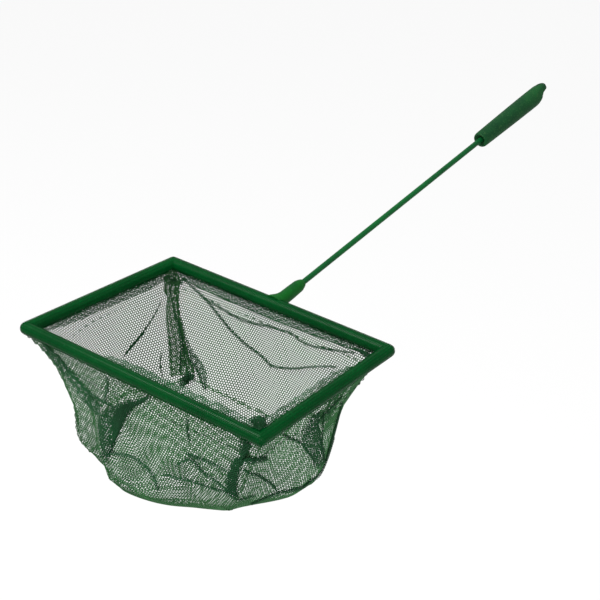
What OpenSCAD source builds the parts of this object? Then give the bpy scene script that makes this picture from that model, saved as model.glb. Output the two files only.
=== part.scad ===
// Rectangular aquarium fish net with a rigid wire hoop, a soft bag and a coated wire handle.
// Lengths are millimetres.  The hoop lies flat, the bag hangs towards -Z, the handle runs towards +Y,
// and the origin is the middle of the hang hole in the grip.

/* [Hoop] */
// Width of the front, between the centre lines of the side bars
front_w = 194; // [170:1:230]
// Width of the rear, between the centre lines of the side bars
rear_w = 182; // [165:1:200]
// Depth of the hoop, between the centre lines of the front and rear bars
hoop_d = 125; // [100:1:150]
// Diameter of the steel hoop wire
wire_d = 3; // [2:0.1:3.4]
// Outer diameter of the plastic tube over the wire
tube_d = 8; // [7.4:0.1:12]
// Radial gap between the wire and the bore of its tube
tube_fit = 0.15; // [0.05:0.05:0.4]
// Least tube wall left at the outside of a corner bend
corner_wall = 0.9; // [0.5:0.1:1.2]

/* [Netting] */
// Thickness of the netting hem wrapped round each bar
hem_t = 0.45; // [0.3:0.05:1]
// Thickness of the netting panels
net_t = 0.5; // [0.4:0.05:0.8]
// Openings across the front wall, the rear wall and the floor, in place of the fine mesh
cells_wide = 12; // [4:1:12]
// Openings along each side wall, and from front to rear in the floor
cells_deep = 8; // [3:1:12]
// Openings down each wall
cells_high = 5; // [2:1:8]
// Width of the netting left between two openings, under the hoop
rib_w = 4; // [2:0.5:5]
// Depth of the middle of the floor below the plane of the hoop
bag_depth = 102; // [85:1:130]
// Depth of the bottom corners, where the pleats end
corner_depth = 70; // [55:1:84]
// How far a bottom corner is drawn in from its side bar
corner_inset_x = 31; // [15:1:40]
// How far a bottom corner is drawn in from its front or rear bar
corner_inset_y = 17; // [8:1:26]
// How far the foot of the front wall hangs out past its bar
front_belly = 4; // [0:0.5:8]
// Depth of the foot of the front wall
front_foot_depth = 76; // [60:1:84]
// How far the foot of the rear wall is drawn in from its bar
rear_foot_inset = 5; // [0:0.5:15]
// Depth of the foot of the rear wall
rear_foot_depth = 82; // [60:1:84]
// How far the foot of a side wall is drawn in from its bar
side_foot_inset = 8; // [0:0.5:20]
// Depth of the foot of the side walls
side_foot_depth = 74; // [60:1:84]

/* [Pleats and thread] */
// Thickness of the folded netting in a corner pleat
pleat_t = 1.2; // [0.8:0.1:2]
// Width of a pleat just under the hoop
pleat_top_w = 7; // [4:0.5:10]
// Width of a pleat at its foot
pleat_foot_w = 17; // [10:0.5:22]
// Gap between a pleat, knot or stitch and the panel that it lies on
lay_gap = 0.15; // [0.05:0.05:0.3]
// Diameter of the knot that ties off the foot of a pleat
knot_d = 4.5; // [3:0.5:7]
// Diameter of the hem thread
thread_d = 0.6; // [0.4:0.1:1]
// Length of one hem stitch
stitch_len = 3.2; // [2:0.1:5]
// Distance from one hem stitch to the next
stitch_pitch = 6.4; // [5.5:0.1:12]
// Drop of the hem stitching below the underside of the bars
hem_drop = 6.5; // [4:0.5:9]

/* [Handle] */
// Upward tilt of the handle from the plane of the hoop, in degrees
handle_tilt = 10.7; // [0:0.1:20]
// Diameter of the steel core of the rod
core_d = 2.8; // [2:0.1:3.2]
// Outer diameter of the plastic coating on the rod
rod_d = 3.8; // [3.6:0.1:5]
// Length of rod that shows between the collar and the grip
bare_rod_len = 203; // [120:1:300]
// Outer diameter of the collar
collar_d = 8.6; // [7.6:0.1:12]
// Diameter of the flared foot of the collar on the rear bar
collar_foot_d = 12.2; // [11:0.1:16]
// Thickness of the lip of the collar round the rod
collar_lip = 0.4; // [0.2:0.1:0.8]
// Reach of the collar from the centre line of the rear bar
collar_reach = 28; // [22:0.5:40]
// Radial gap between the coated rod and the collar or grip
rod_fit = 0.05; // [0.02:0.01:0.1]
// Diameter of the weld bead between the hoop wire and the rod
weld_d = 5.6; // [5:0.1:7]
// Length of the weld bead from the centre line of the hoop wire
weld_len = 4.5; // [3:0.1:6]
// Thickness of the weld bead where it runs out on the rod
bead_lip = 0.4; // [0.2:0.1:0.6]
// Gap between the weld bead and the collar, tubes and hem round it
weld_gap = 0.3; // [0.1:0.1:0.6]

/* [Grip] */
// Length of the grip
grip_len = 87; // [70:1:120]
// Diameter of the grip where the rod enters
grip_near_d = 11.6; // [9.5:0.1:14]
// Largest diameter of the grip
grip_far_d = 13.2; // [11:0.1:17]
// Radius of the rounded edge where the rod enters
grip_edge_r = 1.8; // [0.5:0.1:2.5]
// How deep the rod sits in the grip
grip_bore_len = 55; // [30:1:58]
// Thickness of the flattened tongue
tongue_t = 4.2; // [3:0.1:5]
// Length of the flattened tongue
tongue_len = 11; // [9:0.5:14]
// Width of the tongue at its tip
tongue_w = 9.4; // [7.5:0.1:11]
// Flat taken off the top of the tongue
tongue_top_cut = 1.3; // [0.5:0.1:2]
// Length of the slope between the round grip and its tongue
slope_len = 12; // [8:0.5:18]
// Diameter of the hang hole
hang_hole_d = 4; // [3:0.1:5]
// Distance from the hang hole's centre to the tip
hang_hole_inset = 5; // [4.2:0.1:7]
// Turn of the grip on the rod, in degrees
grip_turn = 26; // [-45:1:45]

/* [Hidden] */
$fn = 48;

tube_green = [0.05, 0.33, 0.15];
net_green = [0.16, 0.36, 0.22];
pleat_green = [0.07, 0.26, 0.13];
grip_green = [0.10, 0.26, 0.14];
steel_grey = [0.62, 0.63, 0.65];

// Sides run counter-clockwise from above: front, right, rear, left.
FRONT = 0;
RIGHT = 1;
REAR = 2;
LEFT = 3;

cut_over = 1;
bar_d = tube_d + 2 * hem_t;
bore_d = wire_d + 2 * tube_fit;
corner_xy = [
    [-front_w / 2, -hoop_d / 2], [front_w / 2, -hoop_d / 2],
    [rear_w / 2, hoop_d / 2], [-rear_w / 2, hoop_d / 2]
];

function corner(i) = corner_xy[(i + 4) % 4];
function span(i) = corner(i + 1) - corner(i);
function side_len(i) = norm(span(i));
function along(i) = span(i) / side_len(i);
function inward(i) = [-along(i).y, along(i).x];
function heading(i) = atan2(along(i).y, along(i).x);
function turn(i) = (heading(i) - heading(i - 1) + 360) % 360;

// Bends of the wire: as wide as the tube's corner leaves room for.
bend_room = (tube_d - bore_d) / 2 - corner_wall;
function bend_r(i) = bend_room / (1 / cos(turn(i) / 2) - 1);
function bend_cut(i) = bend_r(i) * tan(turn(i) / 2);
function bend_centre(i) = corner(i) + along(i) * bend_cut(i) + inward(i) * bend_r(i);

// The strip of the plane that belongs to one side, cut along the mitres at its two corners.
function mitre(i) = (inward(i - 1) + inward(i)) / norm(inward(i - 1) + inward(i));
function strip(i, reach) = [
    corner(i) - mitre(i) * reach, corner(i + 1) - mitre(i + 1) * reach,
    corner(i + 1) + mitre(i + 1) * reach, corner(i) + mitre(i) * reach
];

// The wire is one closed loop of rings, each a polygon round the centre line.
wire_sides = 20;
bend_steps = 5;
function ring(at, facing, d) = [for (k = [0 : wire_sides - 1])
    let (a = 360 * k / wire_sides)
    [at.x + sin(facing) * cos(a) * d / 2, at.y - cos(facing) * cos(a) * d / 2, sin(a) * d / 2]];
function bend_rings(i, d) = [for (k = [0 : bend_steps])
    let (facing = heading(i - 1) + turn(i) * k / bend_steps)
    ring(bend_centre(i) + bend_r(i) * [sin(facing), -cos(facing)], facing, d)];

module wire_path(d) {
    rings = [for (i = [FRONT : LEFT]) each bend_rings(i, d)];
    n = len(rings);
    pts = [for (r = rings) each r];
    quads = [for (r = [0 : n - 1]) for (k = [0 : wire_sides - 1])
        let (s = (r + 1) % n, m = (k + 1) % wire_sides)
        [r * wire_sides + k, r * wire_sides + m, s * wire_sides + m, s * wire_sides + k]];
    polyhedron(pts, [for (f = quads) for (t = [[f[0], f[1], f[2]], [f[0], f[2], f[3]]]) t]);
}

// A bar with domed ends, turned about its own axis.
dome_steps = 8;
module whole_bar(i, d) {
    near = [for (k = [0 : dome_steps])
        let (a = 90 * k / dome_steps) [sin(a) * d / 2, -cos(a) * d / 2]];
    far = [for (k = [0 : dome_steps])
        let (a = 90 * k / dome_steps) [cos(a) * d / 2, side_len(i) + sin(a) * d / 2]];
    translate([corner(i).x, corner(i).y, 0]) rotate([0, 90, heading(i)])
        rotate_extrude() polygon(concat(near, far));
}

module mitred_bar(i, d) {
    intersection() {
        whole_bar(i, d);
        translate([0, 0, -d]) linear_extrude(2 * d) polygon(strip(i, 2 * d));
    }
}

// Handle frame: the centre line of the rod from the middle of the rear bar becomes +Z.
module on_handle() {
    translate([0, hoop_d / 2, 0]) rotate([handle_tilt - 90, 0, 0]) children();
}

module weld_clearance() {
    on_handle() cylinder(h = bar_d, d = weld_d + 2 * weld_gap);
}

module tube(i) {
    difference() {
        mitred_bar(i, tube_d);
        wire_path(bore_d);
    }
}

module half_rear_tube(side) {
    difference() {
        tube(REAR);
        weld_clearance();
        translate([side > 0 ? -rear_w : 0, hoop_d / 2 - tube_d, -tube_d])
            cube([rear_w, 2 * tube_d, 2 * tube_d]);
    }
}

module hem(i) {
    difference() {
        mitred_bar(i, bar_d);
        whole_bar(i, tube_d);
    }
}

// The bag: each profile runs from the underside of a bar, through the foot of the wall, to the
// lowest point in the middle of the floor.
wall_bow_share = 1.4;
foot_round_share = 0.72;
floor_flat_share = 0.9;
heart_share = 0.35;
net_heart = [0, 0, -bag_depth * heart_share];
net_low = [0, 0, -bag_depth];
corner_in = [
    [corner_inset_x, corner_inset_y], [-corner_inset_x, corner_inset_y],
    [-corner_inset_x, -corner_inset_y], [corner_inset_x, -corner_inset_y]
];
foot_in = [-front_belly, side_foot_inset, rear_foot_inset, side_foot_inset];
foot_depth = [front_foot_depth, side_foot_depth, rear_foot_depth, side_foot_depth];

function deep(xy, depth) = [xy.x, xy.y, -depth];
function rim_xy(i, u) = corner(i) + span(i) * u;
function rim_point(i, u) = deep(rim_xy(i, u), bar_d / 2);
function corner_part(u) = pow(cos(180 * u), 2);
function foot_point(i, u) =
    let (c = corner_part(u), pull = corner_in[(u < 1 / 2 ? i : i + 1) % 4])
    deep(rim_xy(i, u) + pull * c + inward(i) * foot_in[i] * (1 - c),
         corner_depth * c + foot_depth[i] * (1 - c));
function hermite(p, m, q, n, t) =
    p * (2 * pow(t, 3) - 3 * pow(t, 2) + 1) + m * (pow(t, 3) - 2 * pow(t, 2) + t)
    + q * (3 * pow(t, 2) - 2 * pow(t, 3)) + n * (pow(t, 3) - pow(t, 2));
function level(v) = [v.x, v.y, 0];

// Point of the bag on side i, at share u of its length, with t from 0 at the rim over 1 at the foot
// to 2 in the middle of the floor.
function net_point(i, u, t) =
    let (rim = rim_point(i, u), foot = foot_point(i, u), lean = (net_low - rim) * foot_round_share)
    t < 1
        ? hermite(rim, (foot - rim) * wall_bow_share, foot, lean, t)
        : hermite(foot, lean, net_low, level(net_low - foot) * floor_flat_share, t - 1);
function round_point(q, t) = let (w = (q + 4) % 4, i = floor(w)) net_point(i, w - i, t);
// The same surface drawn towards the middle of the bag by a thickness.
function layer(p, t) = net_heart + (p - net_heart) * (1 - t / (hoop_d / 2));

// Places of the grid lines of a meshed sheet, from 0 to 1.  It stays whole outside from and to, and
// openings and ribs take turns between them.
function grid_places(n, from, to, rib) =
    let (pitch = (to - from + rib) / n)
    concat([0], [for (k = [0 : n - 1]) each [from + k * pitch, from + (k + 1) * pitch - rib]], [1]);

// A wall stays whole behind its pleats, and above and behind its hem stitches.
wall_drop = corner_depth - bar_d / 2;
function post(i) = pleat_foot_w / 2 / side_len(i);
function grid_u(i) =
    grid_places(i % 2 == 0 ? cells_wide : cells_deep, post(i), 1 - post(i), rib_w / side_len(i));
grid_t = let (rib = rib_w / wall_drop)
    grid_places(cells_high, hem_drop / wall_drop + rib / 2, 1 - rib / 2, rib);

// Closed sheet between an outer and an inner grid of points, both rows by cols.  A meshed one is open
// in every other strip both ways.
module sheet(outer, inner, meshed = false) {
    rows = len(outer);
    cols = len(outer[0]);
    n = rows * cols;
    last = n - cols;
    pts = concat([for (r = outer) for (p = r) p], [for (r = inner) for (p = r) p]);
    cells = [for (r = [0 : rows - 2]) for (c = [0 : cols - 2])
        [r * cols + c, meshed && r % 2 == 1 && c % 2 == 1]];
    // Each edge runs the way that the wall between the two faces takes it on the outer face.
    edges = concat(
        [for (c = [0 : cols - 2]) each [[c + 1, c], [last + c, last + c + 1]]],
        [for (r = [0 : cols : last - 1]) each [[r, r + cols], [r + 2 * cols - 1, r + cols - 1]]],
        [for (cell = cells) let (a = cell[0], d = a + cols) if (cell[1])
            each [[a, a + 1], [a + 1, d + 1], [d + 1, d], [d, a]]]
    );
    quads = concat(
        [for (cell = cells) let (a = cell[0], d = a + cols) if (!cell[1])
            each [[a, a + 1, d + 1, d], [n + a, n + d, n + d + 1, n + a + 1]]],
        [for (e = edges) [e[0], e[1], n + e[1], n + e[0]]]
    );
    polyhedron(pts, [for (f = quads) for (t = [[f[0], f[1], f[2]], [f[0], f[2], f[3]]]) t]);
}

module net_panel(outer) {
    sheet(outer, [for (r = outer) [for (p = r) layer(p, net_t)]], meshed = true);
}

module wall(i) {
    net_panel([for (t = grid_t) [for (u = grid_u(i)) net_point(i, u, t)]]);
}

// Point of the floor at shares a and b of its width and depth, from -1 to 1.  The floor is drawn as
// squares round its lowest point, and the outermost is the feet of the walls.
function floor_point(a, b) =
    let (
        side = -b >= abs(a) ? FRONT : a >= abs(b) ? RIGHT : b >= abs(a) ? REAR : LEFT,
        out = max(abs(a), abs(b))
    )
    net_point(side, ([a, b, -a, -b][side] / out + 1) / 2, 2 - out);

module floor_panel() {
    net_panel([for (b = grid_u(RIGHT)) [for (a = grid_u(FRONT)) floor_point(2 * a - 1, 2 * b - 1)]]);
}

// A pleat is a second, thicker layer inside a corner that widens towards its foot.
pleat_cols = 6;
pleat_rows = 8;
pleat_top_share = 0.04;
pleat_foot_share = 0.9;
function pleat_half(t) = (pleat_top_w + (pleat_foot_w - pleat_top_w) * t) / 2;
function pleat_q(i, t, k) = i + k * pleat_half(t) / side_len(k < 0 ? i - 1 : i);

module pleat(i) {
    base = [for (r = [0 : pleat_rows])
        let (t = pleat_top_share + (pleat_foot_share - pleat_top_share) * r / pleat_rows)
        [for (k = [-pleat_cols / 2 : pleat_cols / 2]) round_point(pleat_q(i, t, 2 * k / pleat_cols), t)]];
    sheet([for (r = base) [for (p = r) layer(p, net_t + 2 * lay_gap)]],
          [for (r = base) [for (p = r) layer(p, net_t + 2 * lay_gap + pleat_t)]]);
}

// A knot sits in the hollow where two walls and the floor meet.
knot_seat_share = 0.58;
knot_seat = net_t + 2 * lay_gap + knot_d * knot_seat_share;
stitch_t = hem_drop / wall_drop;

module stitches(i) {
    count = floor((side_len(i) - pleat_top_w - stitch_len) / stitch_pitch);
    margin = (side_len(i) - count * stitch_pitch) / 2;
    for (k = [0 : count]) {
        u = (margin + k * stitch_pitch) / side_len(i);
        at = layer(net_point(i, u, stitch_t), -thread_d - lay_gap);
        translate(at) rotate([0, 90, heading(i)]) cylinder(h = stitch_len, d = thread_d, center = true);
    }
}

// Grip frame: rod axis along +Z from the near end of the grip, top of the tongue towards +Y.
grip_start = collar_reach + bare_rod_len;
tongue_top = grip_far_d / 2 - tongue_top_cut;
tongue_low = tongue_top - tongue_t;
taper_len = grip_len - tongue_len - slope_len;
hang_at = grip_len - hang_hole_inset;
arc_steps = 8;
socket_len = weld_len + weld_gap;

module in_grip() {
    on_handle() translate([0, 0, grip_start]) rotate([0, 0, 180 - grip_turn]) children();
}

module grip_round() {
    edge = [for (k = [0 : arc_steps])
        let (a = 90 * k / arc_steps)
        [grip_near_d / 2 - grip_edge_r * (1 - sin(a)), grip_edge_r * (1 - cos(a))]];
    rotate_extrude() polygon(concat(
        [[0, 0]], edge, [[grip_far_d / 2, taper_len], [grip_far_d / 2, grip_len], [0, grip_len]]));
}

module tongue_plan() {
    translate([-grip_far_d, 0]) square([2 * grip_far_d, taper_len + slope_len / 2]);
    polygon([
        [-grip_far_d / 2, taper_len], [grip_far_d / 2, taper_len],
        [tongue_w / 2, grip_len - tongue_w / 2], [-tongue_w / 2, grip_len - tongue_w / 2]
    ]);
    translate([0, grip_len - tongue_w / 2]) circle(d = tongue_w);
}

module underside_cut() {
    reach = grip_far_d / 2 + cut_over;
    rotate([0, -90, 0]) linear_extrude(2 * reach, center = true) polygon([
        [taper_len, -reach], [taper_len, -grip_far_d / 2], [taper_len + slope_len, tongue_low],
        [grip_len + cut_over, tongue_low], [grip_len + cut_over, -reach]
    ]);
}

module rod_core() {
    color(steel_grey) on_handle() translate([0, 0, wire_d / 2])
        cylinder(h = grip_start + grip_bore_len - wire_d / 2, d = core_d);
}

module rod_weld() {
    color(steel_grey) difference() {
        on_handle() rotate_extrude() polygon([
            [core_d / 2, 0], [weld_d / 2, 0], [weld_d / 2, wire_d / 2], [core_d / 2 + bead_lip, weld_len],
            [core_d / 2, weld_len]
        ]);
        translate([-weld_d, hoop_d / 2, 0]) rotate([0, 90, 0]) cylinder(h = 2 * weld_d, d = wire_d);
    }
}

module rod_coating() {
    color(tube_green) on_handle() difference() {
        translate([0, 0, socket_len]) cylinder(h = grip_start + grip_bore_len - socket_len, d = rod_d);
        cylinder(h = grip_start + grip_bore_len + cut_over, d = core_d);
    }
}

module collar() {
    flare = (collar_foot_d - collar_d) / 2;
    bar_top = bar_d / 2;
    tip_d = rod_d + 2 * (rod_fit + collar_lip);
    tip_rise = (collar_d - tip_d) / 2;
    color(tube_green) difference() {
        on_handle() rotate_extrude() polygon([
            [0, wire_d / 2], [collar_foot_d / 2, wire_d / 2], [collar_foot_d / 2, bar_top / 2],
            [collar_d / 2 + flare / 4, bar_top + flare / 2], [collar_d / 2, bar_top + 2 * flare],
            [collar_d / 2, collar_reach - tip_rise], [tip_d / 2, collar_reach], [0, collar_reach]
        ]);
        whole_bar(REAR, bar_d);
        on_handle() cylinder(h = socket_len, d = weld_d + 2 * weld_gap);
        on_handle() cylinder(h = collar_reach + cut_over, d = rod_d + 2 * rod_fit);
    }
}

module grip() {
    color(grip_green) in_grip() difference() {
        intersection() {
            grip_round();
            rotate([90, 0, 0]) linear_extrude(2 * grip_far_d, center = true) tongue_plan();
        }
        underside_cut();
        translate([-grip_far_d, tongue_top, grip_len - tongue_len - slope_len / 2])
            cube([2 * grip_far_d, grip_far_d, grip_len]);
        translate([0, 0, -cut_over]) cylinder(h = grip_bore_len + cut_over, d = rod_d + 2 * rod_fit);
        translate([0, 0, hang_at]) rotate([-90, 0, 0]) translate([0, 0, -grip_far_d])
            cylinder(h = 2 * grip_far_d, d = hang_hole_d);
    }
}

// Everything is drawn round the middle of the hoop, then moved so that the hang hole is the origin.
tongue_mid = tongue_low + tongue_t / 2;
grip_up = [
    -sin(grip_turn), -cos(grip_turn) * sin(handle_tilt), cos(grip_turn) * cos(handle_tilt)
];
rod_run = [0, cos(handle_tilt), sin(handle_tilt)];
hang_point = [0, hoop_d / 2, 0] + rod_run * (grip_start + hang_at) + grip_up * tongue_mid;

module placed() {
    translate(-hang_point) children();
}

module hoop_wire() {
    color(steel_grey) wire_path(wire_d);
}

module front_tube() {
    color(tube_green) tube(FRONT);
}

module right_tube() {
    color(tube_green) tube(RIGHT);
}

module left_tube() {
    color(tube_green) tube(LEFT);
}

module rear_right_tube() {
    color(tube_green) half_rear_tube(1);
}

module rear_left_tube() {
    color(tube_green) half_rear_tube(-1);
}

module front_hem() {
    color(pleat_green) hem(FRONT);
}

module right_hem() {
    color(pleat_green) hem(RIGHT);
}

module rear_hem() {
    color(pleat_green) difference() {
        hem(REAR);
        weld_clearance();
    }
}

module left_hem() {
    color(pleat_green) hem(LEFT);
}

module front_net() {
    color(net_green) wall(FRONT);
}

module right_net() {
    color(net_green) wall(RIGHT);
}

module rear_net() {
    color(net_green) wall(REAR);
}

module left_net() {
    color(net_green) wall(LEFT);
}

module floor_net() {
    color(net_green) floor_panel();
}

module front_left_pleat() {
    color(pleat_green) pleat(FRONT);
}

module front_right_pleat() {
    color(pleat_green) pleat(RIGHT);
}

module rear_right_pleat() {
    color(pleat_green) pleat(REAR);
}

module rear_left_pleat() {
    color(pleat_green) pleat(LEFT);
}

module corner_knots() {
    color(pleat_green) for (i = [FRONT : LEFT])
        translate(layer(round_point(i, 1), knot_seat)) sphere(d = knot_d);
}

module hem_stitches() {
    color(pleat_green) for (i = [FRONT : LEFT]) stitches(i);
}

placed() hoop_wire();
placed() front_tube();
placed() right_tube();
placed() left_tube();
placed() rear_right_tube();
placed() rear_left_tube();
placed() front_hem();
placed() right_hem();
placed() rear_hem();
placed() left_hem();
placed() front_net();
placed() right_net();
placed() rear_net();
placed() left_net();
placed() floor_net();
placed() front_left_pleat();
placed() front_right_pleat();
placed() rear_right_pleat();
placed() rear_left_pleat();
placed() corner_knots();
placed() hem_stitches();
placed() rod_core();
placed() rod_weld();
placed() rod_coating();
placed() collar();
placed() grip();
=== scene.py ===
import math
import random

import bpy
import numpy as np
from mathutils import Matrix, Vector
from mathutils.bvhtree import BVHTree


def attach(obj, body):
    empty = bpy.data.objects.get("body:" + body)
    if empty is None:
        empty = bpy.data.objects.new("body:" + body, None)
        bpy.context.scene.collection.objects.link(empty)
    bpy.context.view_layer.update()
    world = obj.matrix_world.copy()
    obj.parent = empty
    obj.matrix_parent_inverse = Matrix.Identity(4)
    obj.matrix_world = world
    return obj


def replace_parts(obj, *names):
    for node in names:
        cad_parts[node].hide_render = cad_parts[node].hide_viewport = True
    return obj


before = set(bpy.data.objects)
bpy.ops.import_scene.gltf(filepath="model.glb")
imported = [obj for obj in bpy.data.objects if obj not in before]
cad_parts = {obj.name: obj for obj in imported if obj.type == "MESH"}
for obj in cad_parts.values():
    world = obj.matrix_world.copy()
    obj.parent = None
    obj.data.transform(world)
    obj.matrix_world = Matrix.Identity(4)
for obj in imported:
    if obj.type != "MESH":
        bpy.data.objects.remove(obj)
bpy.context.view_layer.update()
scene = bpy.context.scene
hoop = np.array((1.40279, -369.52380, -60.93978))  # middle of the hoop in the row frame, mm
print("frame loaded,", len(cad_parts), "nodes")


# Small helpers

def only(obj):
    if bpy.context.mode != "OBJECT":
        bpy.ops.object.mode_set(mode="OBJECT")
    bpy.ops.object.select_all(action="DESELECT")
    obj.select_set(True)
    bpy.context.view_layer.objects.active = obj


def applyAll(obj):
    only(obj)
    for mod in list(obj.modifiers):
        bpy.ops.object.modifier_apply(modifier=mod.name)


def toRow(points):  # hoop millimetres to row metres
    return (np.asarray(points, float) + hoop) * 0.001


def getPoints(obj):
    flat = np.empty(len(obj.data.vertices) * 3)
    obj.data.vertices.foreach_get("co", flat)
    return flat.reshape(-1, 3)


def setPoints(obj, points):
    obj.data.vertices.foreach_set("co", np.ascontiguousarray(points, dtype=np.float64).ravel())
    obj.data.update()


def smooth(obj):
    only(obj)
    bpy.ops.object.shade_smooth()


def added(operator, **values):  # a new primitive, with nothing else selected
    bpy.ops.object.select_all(action="DESELECT")
    operator(**values)
    return bpy.context.object


def joined(parts):
    bpy.ops.object.select_all(action="DESELECT")
    for part in parts:
        part.select_set(True)
    bpy.context.view_layer.objects.active = parts[0]
    bpy.ops.object.join()
    return bpy.context.object


def outward(obj):  # a mapping may turn a closed shape inside out
    points = getPoints(obj)
    tris = np.empty(len(obj.data.loop_triangles) * 3, dtype=np.int64)
    obj.data.loop_triangles.foreach_get("vertices", tris)
    a, b, c = (points[tris.reshape(-1, 3)[:, k]] - points.mean(axis=0) for k in range(3))
    if np.einsum("ij,ij->i", a, np.cross(b, c)).sum() < 0:
        obj.data.flip_normals()


def finishPiece(obj, name, material):
    outward(obj)
    only(obj)
    bpy.ops.object.transform_apply(location=True, rotation=True, scale=True)
    obj.name = name
    obj.data.name = name
    obj.data.materials.clear()
    obj.data.materials.append(material)
    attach(obj, "root")
    return obj


# Materials

def srgb(r, g, b):
    def lin(c):
        c = c / 255
        return c / 12.92 if c < 0.04045 else ((c + 0.055) / 1.055) ** 2.4
    return (lin(r), lin(g), lin(b), 1)


def newGroup(name, inputs, outputs):
    group = bpy.data.node_groups.new(name, "ShaderNodeTree")
    for label, kind, value in inputs:
        sock = group.interface.new_socket(label, in_out="INPUT", socket_type=kind)
        sock.default_value = value
    for label, kind in outputs:
        group.interface.new_socket(label, in_out="OUTPUT", socket_type=kind)
    return group, group.nodes.new("NodeGroupInput"), group.nodes.new("NodeGroupOutput")


def addNode(tree, kind, values=None, **settings):  # values go to its sockets, settings to the node
    node = tree.nodes.new("ShaderNode" + kind)
    for label, value in settings.items():
        setattr(node, label, value)
    for label, value in (values or {}).items():
        node.inputs[label].default_value = value
    return node


def wire(tree, *pairs):  # each pair is an output and the input that it feeds
    for source, target in pairs:
        tree.links.new(source, target)


# Dye that took unevenly: broad clouds, and a fine fibre grain with its own height.
def makeDyeGroup():
    group, inp, out = newGroup("unevenDye", [
        ("Tone", "NodeSocketColor", (0.1, 0.3, 0.1, 1)), ("Deep Tone", "NodeSocketColor", (0, 0.1, 0, 1)),
        ("Pale Tone", "NodeSocketColor", (0.2, 0.4, 0.2, 1)),
        ("Cloud Size", "NodeSocketFloat", 30.0), ("Grain Size", "NodeSocketFloat", 2500.0),
        ("Roughness", "NodeSocketFloat", 0.5), ("Roughness Spread", "NodeSocketFloat", 0.1),
    ], [("Color", "NodeSocketColor"), ("Roughness", "NodeSocketFloat"), ("Height", "NodeSocketFloat")])
    coords = addNode(group, "TexCoord")
    cloud = addNode(group, "TexNoise", {"Detail": 4, "Roughness": 0.6})
    grain = addNode(group, "TexNoise", {"Detail": 2})
    spread = addNode(group, "MapRange", {"From Min": 0.34, "From Max": 0.62})
    fleck = addNode(group, "MapRange", {"From Min": 0.55, "From Max": 0.75})
    deep = addNode(group, "Mix", data_type="RGBA")
    pale = addNode(group, "Mix", data_type="RGBA")
    centred = addNode(group, "Math", {1: 0.5}, operation="SUBTRACT")
    rough = addNode(group, "Math", operation="MULTIPLY_ADD")
    wire(group,
         (coords.outputs["Object"], cloud.inputs["Vector"]),
         (coords.outputs["Object"], grain.inputs["Vector"]),
         (inp.outputs["Cloud Size"], cloud.inputs["Scale"]),
         (inp.outputs["Grain Size"], grain.inputs["Scale"]),
         (cloud.outputs["Fac"], spread.inputs["Value"]),
         (spread.outputs["Result"], deep.inputs["Factor"]),
         (inp.outputs["Deep Tone"], deep.inputs["A"]),
         (inp.outputs["Tone"], deep.inputs["B"]),
         (grain.outputs["Fac"], fleck.inputs["Value"]),
         (fleck.outputs["Result"], pale.inputs["Factor"]),
         (deep.outputs["Result"], pale.inputs["A"]),
         (inp.outputs["Pale Tone"], pale.inputs["B"]),
         (pale.outputs["Result"], out.inputs["Color"]),
         (cloud.outputs["Fac"], centred.inputs[0]),
         (centred.outputs[0], rough.inputs[0]),
         (inp.outputs["Roughness Spread"], rough.inputs[1]),
         (inp.outputs["Roughness"], rough.inputs[2]),
         (rough.outputs[0], out.inputs["Roughness"]),
         (grain.outputs["Fac"], out.inputs["Height"]))
    return group


dyeGroup = makeDyeGroup()
roughSpread = 0.15
grainDepth = 0.0001  # metres


def dyed(name, tone, deep, pale, cloudSize=30, grainSize=2500, rough=0.5, bump=0.1, shine=0.15, metal=0.0):
    mat = bpy.data.materials.new(name)
    mat.use_nodes = True
    tree = mat.node_tree
    bsdf = tree.nodes["Principled BSDF"]
    dye = addNode(tree, "Group", {
        "Tone": srgb(*tone), "Deep Tone": srgb(*deep), "Pale Tone": srgb(*pale), "Cloud Size": cloudSize,
        "Grain Size": grainSize, "Roughness": rough, "Roughness Spread": roughSpread}, node_tree=dyeGroup)
    relief = addNode(tree, "Bump", {"Strength": bump, "Distance": grainDepth})
    wire(tree,
         (dye.outputs["Color"], bsdf.inputs["Base Color"]),
         (dye.outputs["Roughness"], bsdf.inputs["Roughness"]),
         (dye.outputs["Height"], relief.inputs["Height"]),
         (relief.outputs["Normal"], bsdf.inputs["Normal"]))
    bsdf.inputs["Specular IOR Level"].default_value = shine
    bsdf.inputs["Metallic"].default_value = metal
    return mat


netThread = dyed("netThread", (44, 94, 50), (30, 72, 38), (74, 126, 78), cloudSize=22, grainSize=1800,
                 rough=0.6, bump=0.15)
# the same netting thread in a darker tone: painted shade for the gathered and folded layers
shadedFoldThread = dyed("shadedFoldThread", (30, 80, 46), (18, 58, 34), (48, 102, 64), cloudSize=40, grainSize=1800,
                  rough=0.6, bump=0.15)
# the same netting thread in a much darker tone: painted shade for the creases and fold lines, where stacked
# layers and shadow darken the netting
shadedCreaseThread = dyed("shadedCreaseThread", (10, 64, 32), (6, 50, 24), (26, 90, 50), cloudSize=40, grainSize=1800,
                    rough=0.6, bump=0.1)
hemThreadMat = dyed("hemThread", (1, 70, 27), (1, 54, 21), (6, 94, 42), cloudSize=30, grainSize=1800,
                    rough=0.62, bump=0.1, shine=0.0)
sewingThread = dyed("sewingThread", (16, 56, 30), (10, 40, 22), (32, 80, 48), cloudSize=60, grainSize=2600,
                    rough=0.5, bump=0.2)
tubePlastic = dyed("tubePlastic", (1, 68, 26), (1, 54, 20), (4, 82, 36), cloudSize=18, grainSize=900,
                   rough=0.24, bump=0.04, shine=0.12)
rodPlastic = dyed("rodPlastic", (4, 82, 34), (2, 64, 28), (12, 98, 44), cloudSize=26, grainSize=1200,
                  rough=0.45, bump=0.05, shine=0.12)
collarPlastic = dyed("collarPlastic", (4, 78, 20), (2, 60, 24), (12, 90, 28), cloudSize=60, grainSize=900,
                     rough=0.5, bump=0.05, shine=0.1)
gripVinyl = dyed("gripVinyl", (20, 72, 34), (14, 54, 30), (40, 80, 42), cloudSize=45, grainSize=700,
                 rough=0.6, bump=0.08, shine=0.08)
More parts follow.
